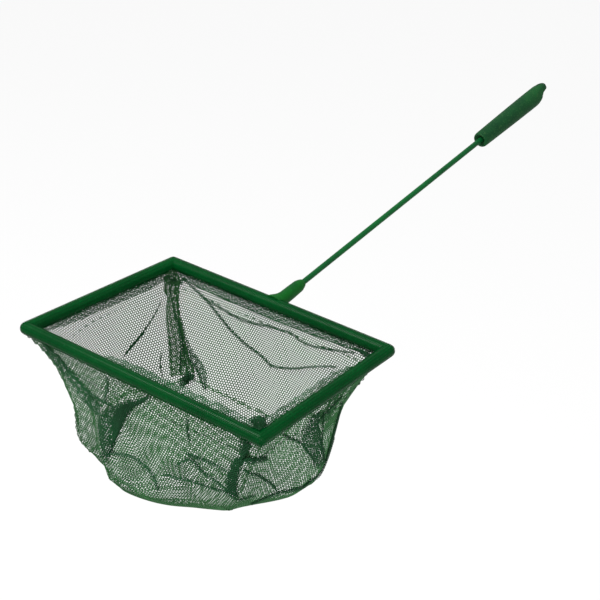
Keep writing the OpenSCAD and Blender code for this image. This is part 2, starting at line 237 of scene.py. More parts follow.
steel = dyed("drawnSteel", (168, 168, 172), (140, 140, 146), (196, 196, 198), cloudSize=60, grainSize=3000,
             rough=0.35, bump=0.05, metal=1.0)
print("materials made")


# Bag: lofted shell, hung by cloth simulation
# Corners go front left, front right, rear right, rear left, and sides front, right, rear, left.

bag = {
    "corners": ((-97, -62.5), (97, -62.5), (91, 62.5), (-91, 62.5)),
    "barRound": 8.9,
    "low": (-1.2, 2.2, -102.5),
    "cornerIn": ((49, 1), (-34.1, 10.4), (-43, -8.5), (29.4, -19)),  # foot of each corner, from its rim
    "cornerDeep": (71.2, 70.3, 62, 68.9),
    "swell": (5.4, 0, 0, 0),  # beside each corner
    "pinch": ((81, 0), (0, 0), (-52, -18), (0, 0)),  # pull on each corner's line as it leaves the rim
    "tuck": ((7.9, 0), (0, 0), (0, 0), (0, 0)), "tuckAt": 0.09,
    "footIn": (-12.8, 12, 5, 7.9),  # foot of each side, at its middle
    "footDeep": (70.7, 69.5, 82, 74.7),
    "bow": 1.9, "round": 0.57, "flat": 0.92, "crease": 0.45, "footPull": 1.1, "floorPull": 0.9,
    "cols": (72, 48), "rows": 28,
    "simScale": 0.01, "frames": 24, "slack": -0.012, "hold": 0.06, "footHold": 0.9,
    "ease": 12, "seamEase": 0.2,
    "apart": 400,
}
clothSettings = {
    "quality": 6, "mass": 0.12, "air_damping": 2, "tension_stiffness": 18, "compression_stiffness": 6,
    "shear_stiffness": 4, "bending_stiffness": 0.25, "pin_stiffness": 1,
}
sideCols = bag["cols"] * 2
seamCols = [sum(sideCols[:i]) for i in range(4)]
ringCols = sum(sideCols)
bagCorners = np.array(bag["corners"], float)
bagSpans = np.roll(bagCorners, -1, axis=0) - bagCorners
barLong = np.linalg.norm(bagSpans, axis=1)
barDir = bagSpans / barLong[:, None]
barIn = np.stack([-barDir[:, 1], barDir[:, 0]], axis=1)


def hermite(p, m, q, n, t):
    t = t[:, None]
    return (p * (2 * t**3 - 3 * t**2 + 1) + m * (t**3 - 2 * t**2 + t)
            + q * (3 * t**2 - 2 * t**3) + n * (t**3 - t**2))


def loftPoint(q, t):  # q runs round the rim from 0 to 4, t from 0 at the rim over 1 to 2 in the middle
    q = np.mod(q, 4)
    side = np.floor(q).astype(int) % 4
    u = q - np.floor(q)
    rimXy = bagCorners[side] + bagSpans[side] * u[:, None]
    c = np.cos(np.pi * u) ** 2
    near = np.where(u < 0.5, side, (side + 1) % 4)
    pull = np.array(bag["cornerIn"], float)[near]
    foot = (rimXy + pull * c[:, None]
            + barIn[side] * (np.array(bag["footIn"], float)[side] * (1 - c))[:, None])
    deep = np.array(bag["cornerDeep"], float)[near] * c + np.array(bag["footDeep"], float)[side] * (1 - c)
    deep += np.array(bag["swell"], float)[near] * 4 * c * (1 - c)
    rim = np.column_stack([rimXy, np.full(len(q), -bag["barRound"] / 2)])
    foot = np.column_stack([foot, -deep])
    low = np.array(bag["low"], float)
    lean = (low - rim) * bag["round"]
    flat = (low - foot) * [1, 1, 0] * bag["flat"]
    down = lean + ((foot - rim) * bag["footPull"] - lean) * bag["crease"]
    across = lean + ((low - foot) * bag["floorPull"] - lean) * bag["crease"]
    start = (foot - rim) * bag["bow"]
    start[:, :2] += np.array(bag["pinch"], float)[near] * c[:, None] ** 3
    wall = hermite(rim, start, foot, down, np.clip(t, 0, 1))
    early = np.clip(t, 0, 1) / bag["tuckAt"]
    wall[:, :2] += np.array(bag["tuck"], float)[near] * (c**3 * early * np.exp(1 - early))[:, None]
    floor = hermite(foot, across, np.broadcast_to(low, foot.shape), flat, np.clip(t - 1, 0, 1))
    return np.where((t < 1)[:, None], wall, floor)


def loftBag():
    nx, ny = bag["cols"]
    rows = bag["rows"]
    ring = ringCols
    ringQ = np.concatenate([i + np.arange(n) / n for i, n in enumerate(sideCols)])
    q = np.tile(ringQ, rows + 1)
    t = np.repeat(np.arange(rows + 1) / rows, ring)
    points = [loftPoint(q, t)]
    inner = {}
    qs, ts = [], []
    tiny = 1e-9
    for j in range(1, ny):
        for i in range(1, nx):
            a, b = 2 * i / nx - 1, 2 * j / ny - 1
            r = max(abs(a), abs(b))
            if r < tiny:
                qq = 0.0
            elif -b >= abs(a) - tiny:
                qq = (a / r + 1) / 2
            elif a >= abs(b) - tiny:
                qq = 1 + (b / r + 1) / 2
            elif b >= abs(a) - tiny:
                qq = 2 + (1 - a / r) / 2
            else:
                qq = 3 + (1 - b / r) / 2
            inner[(i, j)] = (rows + 1) * ring + len(qs)
            qs.append(qq)
            ts.append(2 - r)
    points.append(loftPoint(np.array(qs), np.array(ts)))
    foot = rows * ring

    def node(i, j):
        if j == 0:
            return foot + i
        if i == nx:
            return foot + nx + j
        if j == ny:
            return foot + nx + ny + (nx - i)
        if i == 0:
            return foot + (2 * nx + ny + (ny - j)) % ring
        return inner[(i, j)]

    faces, region = [], []
    for row in range(rows):
        for c in range(ring):
            d = (c + 1) % ring
            faces.append((row * ring + c, (row + 1) * ring + c, (row + 1) * ring + d, row * ring + d))
            region.append(int(ringQ[c]))
    for j in range(ny):
        for i in range(nx):
            faces.append((node(i, j), node(i, j + 1), node(i + 1, j + 1), node(i + 1, j)))
            region.append(4)
    mesh = bpy.data.meshes.new("bagShell")
    mesh.from_pydata((np.vstack(points) * bag["simScale"]).tolist(), [], faces)
    obj = bpy.data.objects.new("bagShell", mesh)
    scene.collection.objects.link(obj)
    seams = {tuple(sorted((r * ring + c, (r + 1) * ring + c))) for r in range(rows) for c in seamCols}
    seams |= {tuple(sorted((foot + c, foot + (c + 1) % ring))) for c in range(ring)}
    for edge in mesh.edges:
        edge.use_seam = tuple(sorted(edge.vertices)) in seams
    return obj, np.array(region), np.array(faces)


def unwrapBag(obj, faces, region):
    only(obj)
    obj.data.uv_layers.new(name="cut")
    bpy.ops.object.mode_set(mode="EDIT")
    bpy.ops.mesh.select_all(action="SELECT")
    bpy.ops.uv.unwrap(method="ANGLE_BASED", margin=0)
    bpy.ops.object.mode_set(mode="OBJECT")
    uv = np.empty(len(obj.data.loops) * 2)
    obj.data.uv_layers["cut"].data.foreach_get("uv", uv)
    uv = uv.reshape(-1, 4, 2)
    solid = (getPoints(obj) / bag["simScale"])[faces]
    flat = np.empty_like(uv)
    for part in range(5):  # each panel turned to lie as it hangs, at its own size, apart from the others
        mine = region == part
        cut, real = uv[mine], solid[mine]
        run = np.append(barDir[part], 0) if part < 4 else np.array((1.0, 0, 0))
        rise = np.array((0, 0, 1.0)) if part < 4 else np.array((0, 1.0, 0))
        a, b = cut.reshape(-1, 2), np.column_stack([real.reshape(-1, 3) @ run, real.reshape(-1, 3) @ rise])
        a0, b0 = a.mean(axis=0), b.mean(axis=0)
        u, _, vt = np.linalg.svd((a - a0).T @ (b - b0))
        d1, d2 = cut[:, 2] - cut[:, 0], cut[:, 3] - cut[:, 1]
        area2 = np.abs(d1[:, 0] * d2[:, 1] - d1[:, 1] * d2[:, 0]).sum() / 2
        area3 = np.linalg.norm(np.cross(real[:, 2] - real[:, 0], real[:, 3] - real[:, 1]), axis=1).sum() / 2
        flat[mine] = (cut - a0) @ (u @ vt) * math.sqrt(area3 / area2) + [bag["apart"] * part, 0]
        print("panel", part, "cut", round(area3 / 100, 1), "cm2, turned", round(float(np.linalg.det(u @ vt))))
    return flat


def nearSeams(rows, reach):  # points of those rings within reach columns of a seam
    cols = [(c + k) % ringCols for c in seamCols for k in range(-reach, reach + 1)]
    return [r * ringCols + col for r in rows for col in cols]


def hangBag(obj):
    rows = bag["rows"]
    everything = list(range(len(obj.data.vertices)))
    held = obj.vertex_groups.new(name="held")
    held.add(everything, bag["hold"], "REPLACE")
    held.add(everything[:ringCols], 1.0, "REPLACE")
    held.add(nearSeams((rows - 1, rows), 2), bag["footHold"], "REPLACE")
    mod = obj.modifiers.new("Cloth", "CLOTH")
    for label, value in clothSettings.items():
        setattr(mod.settings, label, value)
    mod.settings.vertex_group_mass = "held"
    mod.settings.shrink_min = bag["slack"]
    mod.settings.shrink_max = bag["slack"]
    mod.collision_settings.use_collision = False
    mod.collision_settings.use_self_collision = False
    mod.point_cache.frame_start = 1
    mod.point_cache.frame_end = bag["frames"]
    scene.frame_start, scene.frame_end = 1, bag["frames"]
    for f in range(1, bag["frames"] + 1):
        scene.frame_set(f)
    only(obj)
    bpy.ops.object.modifier_apply(modifier="Cloth")
    scene.frame_set(1)
    free = obj.vertex_groups.new(name="free")
    free.add(everything[ringCols:], 1.0, "REPLACE")
    free.add(nearSeams(range(1, rows + 1), 1), bag["seamEase"], "REPLACE")
    free.add(everything[(rows - 1) * ringCols:(rows + 1) * ringCols], bag["seamEase"], "REPLACE")
    ease = obj.modifiers.new("ease", "SMOOTH")
    ease.factor = 0.5
    ease.iterations = bag["ease"]
    ease.vertex_group = "free"
    applyAll(obj)


bagShell, bagRegion, bagFaces = loftBag()
bagFlat = unwrapBag(bagShell, bagFaces, bagRegion)
before = getPoints(bagShell) / bag["simScale"]
hangBag(bagShell)
bagPoints = getPoints(bagShell) / bag["simScale"]
bagNormals = np.empty(len(bagPoints) * 3)
bagShell.data.vertices.foreach_get("normal", bagNormals)
bagNormals = bagNormals.reshape(-1, 3)
moved = np.linalg.norm(bagPoints - before, axis=1)
print("bag hung, moved mean", round(float(moved.mean()), 2), "most", round(float(moved.max()), 2), "mm, low",
      bagPoints.min(axis=0).round(1), "high", bagPoints.max(axis=0).round(1))
bpy.data.objects.remove(bagShell)

ringShape = (bag["rows"] + 1, ringCols, 3)
ringPoints = bagPoints[:ringShape[0] * ringCols].reshape(ringShape)
ringNormals = bagNormals[:ringShape[0] * ringCols].reshape(ringShape)


def wallAt(q, t):  # place and outward normal on the hung walls, q from 0 to 4 and t from 0 to 1
    side = np.floor(q).astype(int)
    col = np.array(seamCols)[side] + (q - side) * np.array(sideCols)[side]
    row = t * bag["rows"]
    c0, r0 = np.floor(col).astype(int), np.floor(row).astype(int)
    c1 = (c0 + 1) % ringCols
    fc, fr = (col - c0)[:, None], (row - r0)[:, None]

    def blend(grid):
        return ((grid[r0, c0] * (1 - fc) + grid[r0, c1] * fc) * (1 - fr)
                + (grid[r0 + 1, c0] * (1 - fc) + grid[r0 + 1, c1] * fc) * fr)
    normal = blend(ringNormals)
    return blend(ringPoints), normal / np.linalg.norm(normal, axis=1)[:, None]


triVerts = np.concatenate([bagFaces[:, [0, 1, 2]], bagFaces[:, [0, 2, 3]]])
triFlat = np.concatenate([bagFlat[:, [0, 1, 2]], bagFlat[:, [0, 2, 3]]])
triRegion = np.concatenate([bagRegion, bagRegion])
cutTree = BVHTree.FromPolygons(
    [(p[0], p[1], 0) for p in triFlat.reshape(-1, 2)],
    [(3 * i, 3 * i + 1, 3 * i + 2) for i in range(len(triFlat))])


def nearestTri(xy):
    find = cutTree.find_nearest
    hits = [find((x, y, 0)) for x, y in xy]
    return np.array([h[2] for h in hits]), np.array([h[3] for h in hits])


def bagAt(xy):  # place and outward normal of points of the flat cut
    tri, away = nearestTri(xy)
    a, b, c = triFlat[tri, 0], triFlat[tri, 1], triFlat[tri, 2]
    ab, ac, ap = b - a, c - a, xy - a
    det = ab[:, 0] * ac[:, 1] - ab[:, 1] * ac[:, 0]
    tiny, over = 1e-9, 1.5  # a point off the cut is carried on from its nearest triangle, within over
    det = np.where(np.abs(det) < tiny, tiny, det)
    v = (ap[:, 0] * ac[:, 1] - ap[:, 1] * ac[:, 0]) / det
    w = (ab[:, 0] * ap[:, 1] - ab[:, 1] * ap[:, 0]) / det
    v, w = np.clip(v, -over, 1 + over)[:, None], np.clip(w, -over, 1 + over)[:, None]
    corners = bagPoints[triVerts[tri]]
    normals = bagNormals[triVerts[tri]]
    place = corners[:, 0] * (1 - v - w) + corners[:, 1] * v + corners[:, 2] * w
    v, w = np.clip(v, 0, 1), np.clip(w, 0, 1)
    normal = normals[:, 0] * (1 - v - w) + normals[:, 1] * v + normals[:, 2] * w
    return place, normal / np.maximum(np.linalg.norm(normal, axis=1), tiny)[:, None], away


# Netting: flat six-sided cells, wired, then bent on to a surface

netting = {"across": 1.8, "strand": 0.68, "proud": 0.5, "weldShare": 0.05, "edge": 0.3, "uvMargin": 0.01}


def within(xy, start, end, most):
    return (xy[:, 0] > start) & (xy[:, 0] < end) & (xy[:, 1] > 0) & (xy[:, 1] < most)


def flatNet(low, high, keep, across=netting["across"], strand=netting["strand"], tall=1.0):
    r = across / math.sqrt(3)
    rise = 3 * r * tall
    x0 = math.floor(low[0] / across) * across
    y0 = math.floor(low[1] / rise) * rise
    nx = int((high[0] - x0) / across) + 2
    ny = int((high[1] - y0) / rise) + 2
    obj = added(bpy.ops.mesh.primitive_circle_add, vertices=6, radius=r, fill_type="NGON", location=(0, 0, 0))
    bpy.ops.object.mode_set(mode="EDIT")
    bpy.ops.mesh.select_all(action="SELECT")
    bpy.ops.mesh.duplicate_move(TRANSFORM_OT_translate={"value": (across / 2, 1.5 * r, 0)})
    bpy.ops.object.mode_set(mode="OBJECT")
    setPoints(obj, getPoints(obj) * [1, tall, 1] + [x0, y0, 0])
    for label, count, move in (("rows", nx, (across, 0, 0)), ("courses", ny, (0, rise, 0))):
        mod = obj.modifiers.new(label, "ARRAY")
        mod.count = count
        mod.use_relative_offset = False
        mod.use_constant_offset = True
        mod.constant_offset_displace = move
    applyAll(obj)
    bpy.ops.object.mode_set(mode="EDIT")
    bpy.ops.mesh.select_all(action="SELECT")
    bpy.ops.mesh.remove_doubles(threshold=across * netting["weldShare"])
    bpy.ops.mesh.select_all(action="DESELECT")
    bpy.ops.object.mode_set(mode="OBJECT")
    centres = np.empty(len(obj.data.polygons) * 3)
    obj.data.polygons.foreach_get("center", centres)
    inside = keep(centres.reshape(-1, 3)[:, :2])
    obj.data.polygons.foreach_set("select", ~inside)
    bpy.ops.object.mode_set(mode="EDIT")
    bpy.ops.mesh.select_mode(type="FACE")
    bpy.ops.mesh.delete(type="FACE")
    bpy.ops.object.mode_set(mode="OBJECT")
    yarn = obj.modifiers.new("yarn", "WIREFRAME")
    yarn.thickness = strand
    yarn.use_even_offset = True
    yarn.use_boundary = True
    yarn.use_replace = True
    applyAll(obj)
    return obj


def bendNet(obj, onto, name, node, material):  # node is the solid that it stands for
    points = getPoints(obj)
    xy, z = points[:, :2].copy(), points[:, 2] * netting["proud"]
    low, size = xy.min(axis=0), np.ptp(xy, axis=0).max()
    loops = np.empty(len(obj.data.loops), dtype=np.int64)
    obj.data.loops.foreach_get("vertex_index", loops)
    while obj.data.uv_layers:
        obj.data.uv_layers.remove(obj.data.uv_layers[0])
    layer = obj.data.uv_layers.new(name="OFBake")
    margin = netting["uvMargin"]
    layer.data.foreach_set("uv", ((xy - low) / size * (1 - 2 * margin) + margin)[loops].ravel())
    setPoints(obj, toRow(onto(xy, z)))
    smooth(obj)
    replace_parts(finishPiece(obj, name, material), node)
    return obj


bagTree = BVHTree.FromPolygons([tuple(p) for p in bagPoints], [tuple(map(int, f)) for f in bagFaces])


def snapped(points):  # nearest places on the hung bag, and its outward normals there
    hits = [bagTree.find_nearest(Vector(p)) for p in points]
    return np.array([h[0][:] for h in hits]), np.array([h[1][:] for h in hits])


def bagLine(line, steps):  # rounded line on the bag through (round the rim, down the bag) points
    line = np.array(line, float)
    fine = [line[0]]
    for k in range(len(line) - 1):
        p0, p1, p2, p3 = line[max(k - 1, 0)], line[k], line[k + 1], line[min(k + 2, len(line) - 1)]
        for m in range(1, steps + 1):
            f = m / steps
            fine.append(0.5 * (2 * p1 + (p2 - p0) * f + (2 * p0 - 5 * p1 + 4 * p2 - p3) * f**2
                               + (3 * p1 - p0 - 3 * p2 + p3) * f**3))
    fine = np.array(fine)
    return snapped(loftPoint(fine[:, 0], fine[:, 1]))


panels = [  # the part of the cut, the solid that it stands for and what carries it
    {"name": "netFront", "region": 0, "node": "front_net", "rests": "front_tube"},
    {"name": "netRight", "region": 1, "node": "right_net", "rests": "right_tube"},
    {"name": "netRear", "region": 2, "node": "rear_net", "rests": "rear_left_tube"},
    {"name": "netLeft", "region": 3, "node": "left_net", "rests": "left_tube"},
    {"name": "netFloorLeft", "region": 4, "node": "floor_net", "rests": "netFront", "left": True},
    {"name": "netFloorRight", "region": 4, "node": "floor_net", "rests": "netFront", "left": False},
]


def makePanel(panel):
    mine = triRegion == panel["region"]
    if "left" in panel:
        mine &= (triFlat.mean(axis=1)[:, 0] < bag["apart"] * panel["region"]) == panel["left"]
    pts = triFlat[mine].reshape(-1, 2)
    low, high = pts.min(axis=0), pts.max(axis=0)

    def keep(centres):
        tri, away = nearestTri(centres)
        return mine[tri] & (away < netting["edge"])

    def onto(xy, z):
        place, normal, _ = bagAt(xy)
        return place + normal * z[:, None]
    obj = bendNet(flatNet(low, high, keep), onto, panel["name"], panel["node"], netThread)
    a, b, c = triFlat[mine, 0], triFlat[mine, 1], triFlat[mine, 2]
    ab, ac = b - a, c - a
    area = float(np.abs(ab[:, 0] * ac[:, 1] - ab[:, 1] * ac[:, 0]).sum() / 2)
    size = (high - low) / 1000
    print(panel["name"], len(obj.data.polygons), "faces, cut", size.round(3), round(area / 100, 1), "cm2")
    return obj, (float(size[0]), float(size[1])), area / 1e6


netPanels = [makePanel(panel) for panel in panels]
print("bag netting made")


# Hem: netting wrapped round each bar, and the thread that closes it

hem = {
    "wrapRadius": 4.22, "wrapAcross": 1.45, "wrapTall": 1.5, "strand": 0.34,
    "lap": 1.4, "lapMost": 1.5, "spare": 1,  # a lap past the bar's end is in wrap radii
}
sideNames = ("front", "right", "rear", "left")


def wrapBar(i):
    r, long = hem["wrapRadius"], barLong[i]
    half, lap, most = math.pi * r, hem["lap"] * r, hem["lapMost"] * r
    after = (i + 1) % 4

    def onBar(xy, z):
        s = xy[:, 0]
        end = np.where(s < 0, -1, np.where(s > long, 1, 0))
        phi = np.clip(np.abs(s - np.clip(s, 0, long)) / r, 0, hem["lapMost"])
        along = np.clip(s, 0, long) + end * (r + z) * np.sin(phi)
        out = (r + z) * np.cos(phi)
        theta = xy[:, 1] / r
        level = bagCorners[i] + barDir[i] * along[:, None] - barIn[i] * (out * np.sin(theta))[:, None]
        return np.column_stack([level, out * np.cos(theta)])

    def keep(centres):
        s, place = centres[:, 0], onBar(centres, 0)[:, :2]
        begun = (place - bagCorners[i]) @ (barDir[i] + barDir[i - 1]) > 0
        ended = (place - bagCorners[after]) @ (barDir[i] + barDir[after]) > 0
        return begun & ~ended & (np.abs(centres[:, 1]) < half) & (s > -lap) & (s < long + lap)
    net = flatNet((-most, -half - hem["spare"]), (long + most, half + hem["spare"]), keep,
                  across=hem["wrapAcross"], strand=hem["strand"], tall=hem["wrapTall"])
    return bendNet(net, onBar, sideNames[i] + "HemWrap", sideNames[i] + "_hem", hemThreadMat)


hemWraps = [wrapBar(i) for i in range(4)]
print("hem made,", sum(len(o.data.polygons) for o in hemWraps), "faces on the bars")

stitch = {
    "long": 3.2, "pitch": 6.4, "thread": 0.6, "margin": 7, "tilt": 0.12,
    "drop": 6.5, "wallDeep": 68,  # mm below the rim, of a wall that deep
    "cuts": (0.17, 0.33, 0.5, 0.67, 0.83), "tip": 0.55, "arch": 0.45, "sunk": 0.3, "proud": 0.55,
}


def sewHem():
    one = added(bpy.ops.mesh.primitive_cylinder_add, vertices=8, radius=stitch["thread"] / 2,
                depth=stitch["long"], end_fill_type="TRIFAN", rotation=(0, math.pi / 2, 0))
    bpy.ops.object.transform_apply(rotation=True)
    bpy.ops.object.mode_set(mode="EDIT")
    for share in stitch["cuts"]:
        bpy.ops.mesh.select_all(action="SELECT")
        bpy.ops.mesh.bisect(plane_co=((share - 0.5) * stitch["long"], 0, 0), plane_no=(1, 0, 0))
    bpy.ops.object.mode_set(mode="OBJECT")
    base = getPoints(one)
    bow = np.clip(np.cos(base[:, 0] / stitch["long"] * math.pi), 0, 1)
    base[:, 1:] *= stitch["tip"] + (1 - stitch["tip"]) * bow[:, None] ** 0.5
    base[:, 2] += bow * stitch["arch"] - stitch["sunk"]
    rng = random.Random(11)
    parts = []
    for i in range(4):
        count = math.floor((barLong[i] - stitch["margin"] - stitch["long"]) / stitch["pitch"]) + 1
        start = (barLong[i] - (count - 1) * stitch["pitch"]) / 2
        q = i + (start + np.arange(count) * stitch["pitch"]) / barLong[i]
        for place, normal in zip(*wallAt(q, np.full(count, stitch["drop"] / stitch["wallDeep"]))):
            copy = one.copy()
            copy.data = one.data.copy()
            scene.collection.objects.link(copy)
            y = np.cross(normal, np.append(barDir[i], 0))
            y /= np.linalg.norm(y)
            x = np.cross(y, normal)
            tilt = rng.uniform(-stitch["tilt"], stitch["tilt"])
            x, y = x * math.cos(tilt) + y * math.sin(tilt), y * math.cos(tilt) - x * math.sin(tilt)
            setPoints(copy, toRow(place + normal * stitch["proud"] + base @ np.array([x, y, normal])))
            parts.append(copy)
    bpy.data.objects.remove(one)
    obj = joined(parts)
    smooth(obj)
    finishPiece(obj, "hemThread", sewingThread)
    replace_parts(obj, "hem_stitches")


sewHem()


# Gathered netting: hem bands, corner pleats and their ears
# path: (round the rim, down the bag) points; across: at each, where the layers turn back, in mm;
# inside: mm from the bag's surface, below zero on its outer side; rests: what carries the strip

gathers = [
    {"name": "frontHemBand", "node": "front_hem", "rests": "front_tube", "inside": 0.5,
     "path": ((0.02, 0.0), (0.5, 0.0), (0.98, 0.0)),
     "across": ((0, -1.2, -0.1, -2.2), (0, -1.3, -0.1, -2.6), (0, -1.2, -0.1, -2.2))},
    {"name": "rightHemBand", "node": "right_hem", "rests": "right_tube", "inside": 0.5,
     "path": ((1.03, 0.0), (1.5, 0.0), (1.97, 0.0)),
     "across": ((0, -1.2, -0.1, -2.2), (0, -1.3, -0.1, -2.6), (0, -1.2, -0.1, -2.2))},
    {"name": "rearHemBand", "node": "rear_hem", "rests": "rear_left_tube", "inside": 0.5,
     "path": ((2.02, 0.0), (2.18, 0.0), (2.45, 0.0), (2.62, 0.0), (2.85, 0.0), (2.98, 0.0)),
     "across": ((0, -1.2, -0.1, -2.8, -2.3), (0, -1.3, -0.1, -4.6, -3.9), (0, -1.3, -0.1, -6.6, -5.8),
                (0, -1.3, -0.1, -6.6, -5.8), (0, -1.3, -0.1, -5.6, -4.9), (0, -1.2, -0.1, -3.4, -2.8))},
    {"name": "leftHemBand", "node": "left_hem", "rests": "left_tube", "inside": 0.5,
     "path": ((3.03, 0.0), (3.2, 0.0), (3.5, 0.0), (3.8, 0.0), (3.97, 0.0)),
     "across": ((0, -1.2, -0.1, -3.2), (0, -1.3, -0.1, -5.6), (0, -1.3, -0.1, -5.2), (0, -1.3, -0.1, -4.2),
                (0, -1.2, -0.1, -2.6))},
    {"name": "rearLeftPleat", "node": "rear_left_pleat", "rests": "rear_left_tube", "inside": 1.1,
     "thread": netThread, "yarn": 0.67,
     "path": ((3.0, 0.0), (3.0, 0.27), (3.0, 0.62), (3.01, 0.99)),
     "across": ((9, 7, 8.6, -8.5, -6.6, -8), (11.2, 9.4, 10.8, -0.5, 1.2, 0),
                (11.5, 9.9, 11.2, -3.4, -1.6, -3), (11.6, 9.9, 11.3, -8, -5.9, -7.5))},
    {"name": "rearLeftEar", "node": "rear_left_pleat", "rests": "rearLeftPleat", "inside": 1.4,
     "path": ((2.995, 0.34), (2.98, 0.67), (2.91, 0.88), (2.91, 1.06)),
     "across": ((-0.8, 0.8, -0.6, 0.6), (-3, 3.4, 2, 3), (-2.6, 4, 2.6, 3.6), (-0.7, 1, 0.2, 0.8))},
    {"name": "rearLeftCross", "node": "rear_left_pleat", "rests": "rearLeftPleat", "inside": 1.6,
     "path": ((3.05, 0.05), (3.03, 0.28), (3.01, 0.44), (3.02, 0.75), (3.03, 0.95)),
     "across": ((-0.7, 0.7, -0.3, 0.5), (-0.8, 0.9, -0.1, 0.7), (-0.9, 1, 0, 0.8), (-2, 1.8, 1, 1.5),
                (-3.6, 3, 2, 2.7))},
    {"name": "rearLeftTuft", "node": "rear_left_pleat", "rests": "rearLeftPleat", "inside": 2.0,
     "path": ((3.08, 1.04), (3.03, 1.03), (2.99, 1.0), (2.96, 0.98)),
     "across": ((-1, 1, -0.6, 0.8), (-3, 3.4, -2, 2.4), (-4, 4, -3, 3), (-1.6, 1.4, -1, 1))},
    {"name": "frontLeftPleat", "node": "front_left_pleat", "rests": "front_tube", "inside": -0.9,
     "path": ((0.04, 0.02), (0.08, 0.13), (0.19, 0.21), (0.31, 0.26)),
     "across": ((-2.5, 3, 2, 2.8), (-4.5, 4.2, 3, 4), (-5, 4.6, 3.4, 4.4), (-4, 3.6, 2.6, 3.4))},
    {"name": "frontLeftFold", "node": "front_left_pleat", "rests": "frontLeftPleat", "inside": -1.4,
     "thread": shadedCreaseThread,
     "path": ((0.56, 0.01), (0.52, 0.06), (0.47, 0.13), (0.43, 0.21), (0.38, 0.33), (0.36, 0.45),
              (0.32, 0.60), (0.25, 0.78)),
     "across": ((-0.6, 0.6, 0.4, 0.55), (-1.2, 1.4, -0.4, 1.2), (-3, 2.6, -1.8, 2.2), (-5.5, 4.6, -3.5, 4),
                (-9, 8, -2, 7.2), (-8.5, 7, 4.6, 6.6), (-5.4, 5, 3.8, 4.8), (-0.6, 0.6, 0.4, 0.55))},
    {"name": "frontRightPleat", "node": "front_right_pleat", "rests": "right_tube", "inside": -1.4,
     "thread": shadedCreaseThread,
     "path": ((0.95, 0.0), (0.96, 0.13), (0.955, 0.2), (0.96, 0.40), (0.98, 0.62)),
     "across": ((-4, 4, -2, 3), (-1.2, 1.2, -1, 1.1), (-3, 2.6, -2.6, 2.3), (-3.8, 3.4, -3.4, 3.2),
                (-4.4, 4, -4, 3.6))},
    {"name": "frontRightEar", "node": "front_right_pleat", "rests": "frontRightPleat", "inside": -1.6,
     "thread": shadedCreaseThread,
     "path": ((0.965, 0.17), (0.985, 0.13), (1.02, 0.11), (1.08, 0.15)),
     "across": ((-0.7, 0.7, -0.6, 0.6), (-1.6, 2, -1.2, 1.6), (-1.8, 2.4, -1.4, 2), (-0.6, 0.6, -0.5, 0.5))},
    {"name": "rearRightPleat", "node": "rear_right_pleat", "rests": "rear_right_tube", "inside": 1.1,
     "thread": shadedCreaseThread,
     "path": ((2.0, 0.0), (1.99, 0.3), (1.98, 0.65), (1.97, 0.97)),
     "across": ((-6, 6, 4.6, 5.6), (-7, 5, 3.4, 4.6), (-8, 6, 4.4, 5.6), (-9, 8, 6, 7.4))},
    {"name": "rearRightFold", "node": "rear_right_pleat", "rests": "rear_right_tube", "inside": -1.4,
     "thread": shadedCreaseThread,
     "path": ((1.40, 0.03), (1.38, 0.14), (1.42, 0.26), (1.48, 0.46), (1.53, 0.70)),
     "across": ((-4, 5, 3.6, 4.6), (-7, 8, 6.4, 7.6), (-7, 7.5, 6, 7.2), (-5, 5.5, 4, 5), (-3, 3, 2, 2.7))},
    {"name": "cornerBunches", "node": "corner_knots", "rests": "left_tube", "inside": 1.6, "runs": [
        {"path": ((3.90, 0.02), (3.97, 0.06), (4.02, 0.04)),
         "across": ((-0.6, 0.6, -0.5, 0.5), (-2, 2.4, -1.6, 2), (-0.6, 0.6, -0.5, 0.5))},
        {"path": ((2.93, 0.02), (3.0, 0.07), (3.07, 0.02)),
         "across": ((-0.6, 0.6, -0.5, 0.5), (-2, 1.8, 0.8, 1.5), (-0.6, 0.6, -0.5, 0.5))},
        {"path": ((1.95, 0.02), (2.0, 0.06), (2.06, 0.03), (2.12, 0.02)),
         "across": ((-0.8, 0.8, -0.6, 0.6), (-2.6, 2.8, -2, 2.2), (-2, 2.2, -1.6, 1.8),
                    (-0.6, 0.6, -0.5, 0.5))},
    ]},
]
strip = {
    "cell": 1.4, "yarn": 0.62, "layerGap": 0.45, "turnIn": 1.2, "turnRise": 0.5,
    "steps": 8, "reach": 20, "apart": 4, "least": 10, "samples": 60,
}


